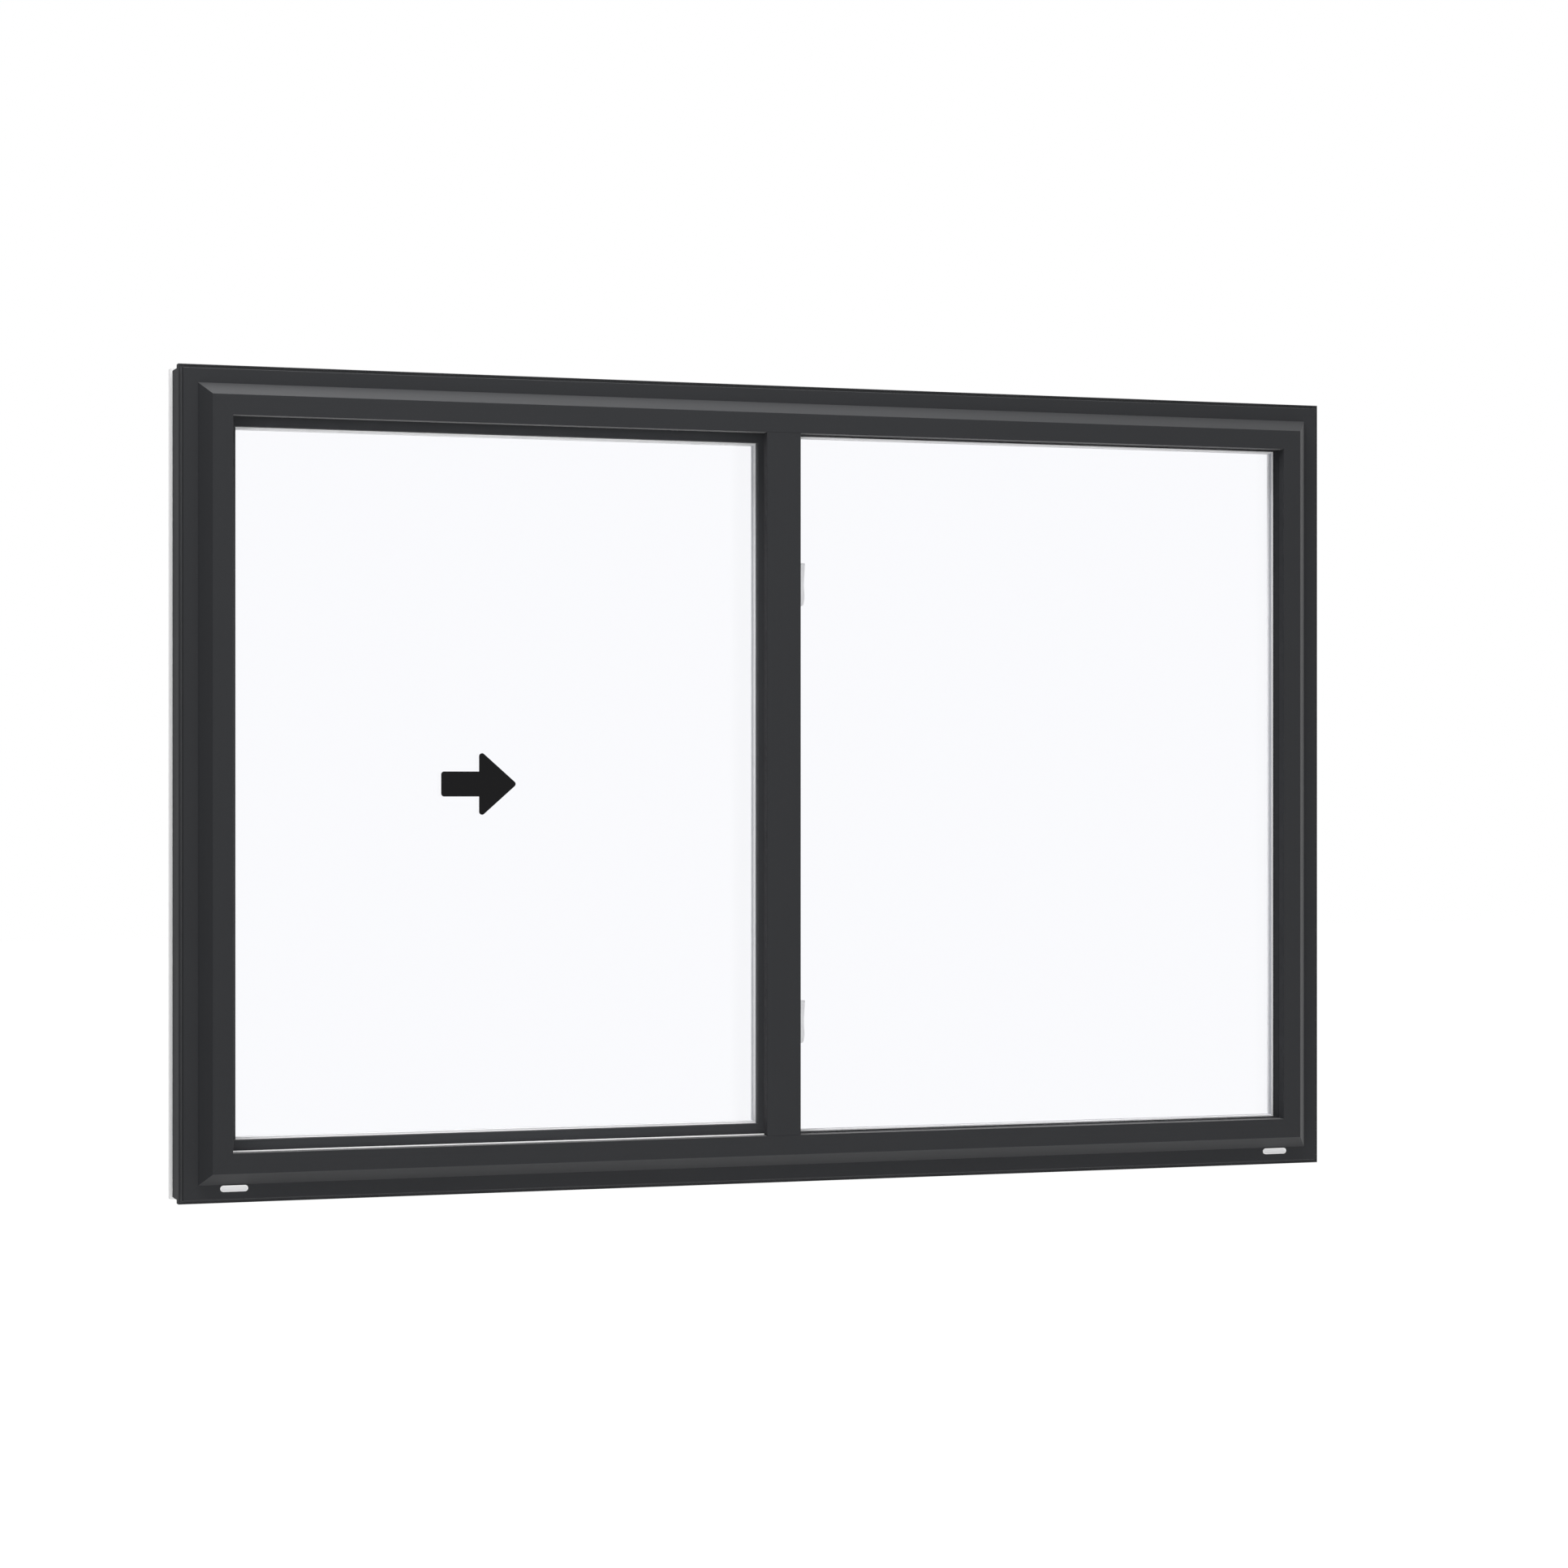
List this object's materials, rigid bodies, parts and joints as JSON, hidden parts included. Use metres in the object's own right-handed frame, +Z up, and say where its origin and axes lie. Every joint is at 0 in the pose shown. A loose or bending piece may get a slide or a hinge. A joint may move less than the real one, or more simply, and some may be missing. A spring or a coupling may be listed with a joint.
{
  "type": "horizontal sliding window",
  "caption": "Wide two-lite window with a dark moulded outer frame, a fixed lite on the right and a sliding sash on the left, white towards the room.",
  "frame": {"origin": "middle of the sill heel's underside, which stands on the rough opening", "axes": "+X to the right as seen from outside, +Y from outside towards the room, +Z up"},
  "size_m": [1.816, 0.1166, 1.2065],
  "materials": {
    "charcoal_vinyl": "satin charcoal skin on vinyl",
    "white_vinyl": "satin white vinyl",
    "clear_glass": "clear polished",
    "spacer_foam": "matt light grey",
    "track_aluminium": "mill, drawn along its length",
    "wheel_nylon": "moulded nylon",
    "bracket_steel": "zinc plated",
    "grey_pile": "woven pile",
    "weep_plastic": "satin moulded",
    "lock_enamel": "white powder coat"
  },
  "bodies": {
    "root": {"frame_head_exterior": "charcoal_vinyl", "frame_head_interior": "white_vinyl", "frame_sill_exterior": "charcoal_vinyl", "frame_sill_interior": "white_vinyl", "frame_left_jamb_exterior": "charcoal_vinyl", "frame_left_jamb_interior": "white_vinyl", "frame_right_jamb_exterior": "charcoal_vinyl", "frame_right_jamb_interior": "white_vinyl", "fixed_stop_head": "charcoal_vinyl", "fixed_bead_head": "white_vinyl", "fixed_stop_sill": "charcoal_vinyl", "fixed_bead_sill": "white_vinyl", "fixed_stop_right_jamb": "charcoal_vinyl", "fixed_bead_right_jamb": "white_vinyl", "sill_channel_cover": "white_vinyl", "fixed_stile_exterior": "charcoal_vinyl", "fixed_stile_interior": "white_vinyl", "fixed_glass_outer": "clear_glass", "fixed_glass_inner": "clear_glass", "fixed_glass_spacer": "spacer_foam", "sash_top_rail_exterior": "charcoal_vinyl", "sash_top_rail_interior": "white_vinyl", "sash_top_rail_bead": "white_vinyl", "sash_bottom_rail_exterior": "charcoal_vinyl", "sash_bottom_rail_interior": "white_vinyl", "sash_bottom_rail_bead": "white_vinyl", "sash_pull_stile_exterior": "charcoal_vinyl", "sash_pull_stile_interior": "white_vinyl", "sash_pull_stile_bead": "white_vinyl", "sash_meeting_stile_exterior": "charcoal_vinyl", "sash_meeting_stile_interior": "white_vinyl", "sash_meeting_stile_bead": "white_vinyl", "sash_glass_outer": "clear_glass", "sash_glass_inner": "clear_glass", "sash_glass_spacer": "spacer_foam", "sash_interlock": "charcoal_vinyl", "roller_track": "track_aluminium", "roller_wheels": "wheel_nylon", "roller_housings": "bracket_steel", "sash_head_guides": "wheel_nylon", "pile_strips": "grey_pile", "weep_covers": "weep_plastic", "lock_cases": "lock_enamel", "lock_levers": "lock_enamel", "lock_keepers": "lock_enamel"}
  },
  "joints": []
}
